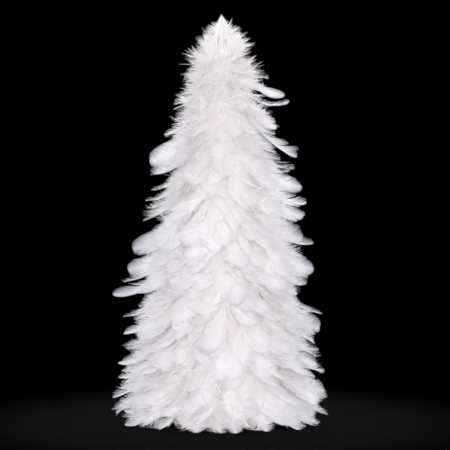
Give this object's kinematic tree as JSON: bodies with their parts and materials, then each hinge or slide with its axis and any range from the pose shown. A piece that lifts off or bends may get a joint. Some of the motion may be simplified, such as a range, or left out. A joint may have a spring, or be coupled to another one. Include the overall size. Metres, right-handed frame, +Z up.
{
  "type": "feather christmas tree",
  "caption": "Table-top cone tree: a foam cone on a round base disc, covered from foot to tip with rows of cupped, curled feathers, with upright feathers round the tip.",
  "frame": {"origin": "centre of the base disc's underside, on the surface that the tree stands on", "axes": "+Z up the tree to its tip, front towards -Y, +X to the viewer's right"},
  "size_m": [0.2323, 0.2348, 0.4496],
  "materials": {
    "paperboard": "uncoated paperboard, matt",
    "foam": "white expanded polystyrene foam, beaded",
    "feather": "white goose feather, soft barbs with an ivory shaft"
  },
  "bodies": {
    "root": {"base_disc": "paperboard", "foam_cone": "foam", "feather_row_01": "feather", "feather_row_02": "feather", "feather_row_03": "feather", "feather_row_04": "feather", "feather_row_05": "feather", "feather_row_06": "feather", "feather_row_07": "feather", "feather_row_08": "feather", "feather_row_09": "feather", "feather_row_10": "feather", "feather_row_11": "feather", "feather_row_12": "feather", "feather_row_13": "feather", "feather_row_14": "feather", "feather_row_15": "feather", "feather_row_16": "feather", "feather_row_17": "feather", "feather_row_18": "feather", "tip_feather_1": "feather", "tip_feather_2": "feather", "tip_feather_3": "feather", "tip_feather_4": "feather"}
  },
  "joints": []
}
